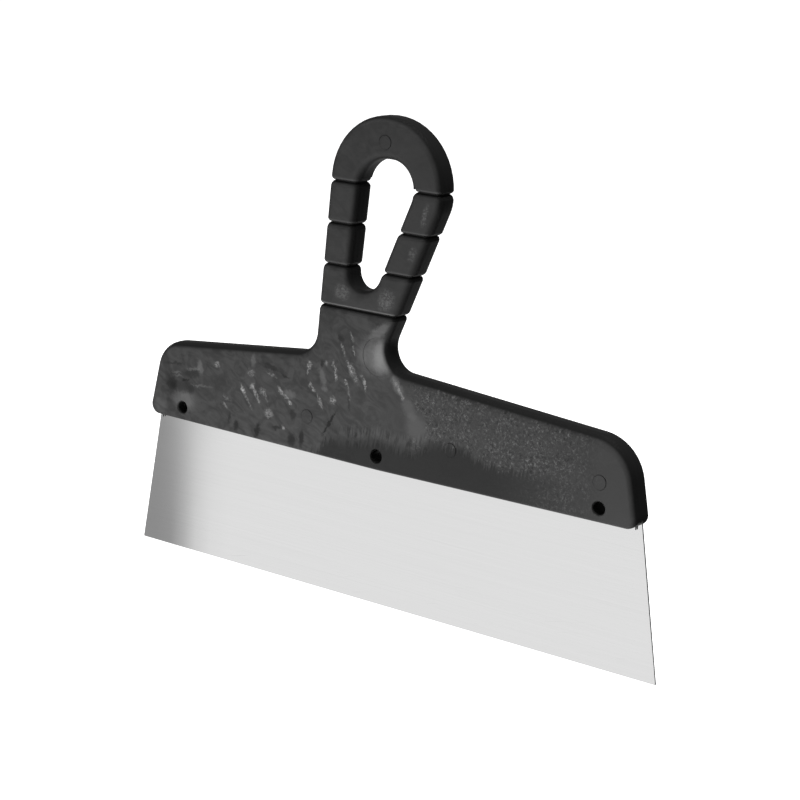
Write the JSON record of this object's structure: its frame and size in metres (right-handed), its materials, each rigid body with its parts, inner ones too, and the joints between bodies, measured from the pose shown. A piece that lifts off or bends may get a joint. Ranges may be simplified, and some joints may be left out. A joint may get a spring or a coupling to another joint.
{
  "type": "bench scraper",
  "caption": "Wide thin steel scraper blade held in a black plastic bar with a grooved finger loop above it, for scraping, cutting or spreading.",
  "frame": {"origin": "middle of the scraping edge, at the base of the part", "axes": "+X along the scraping edge, front face towards -Y, +Z from the edge up to the loop"},
  "size_m": [0.25, 0.01, 0.1893],
  "materials": {
    "blade_steel": "fine rolled stainless, half bright",
    "handle_plastic": "black moulded polypropylene with flow marks"
  },
  "bodies": {
    "root": {"blade": "blade_steel", "handle": "handle_plastic"}
  },
  "joints": []
}
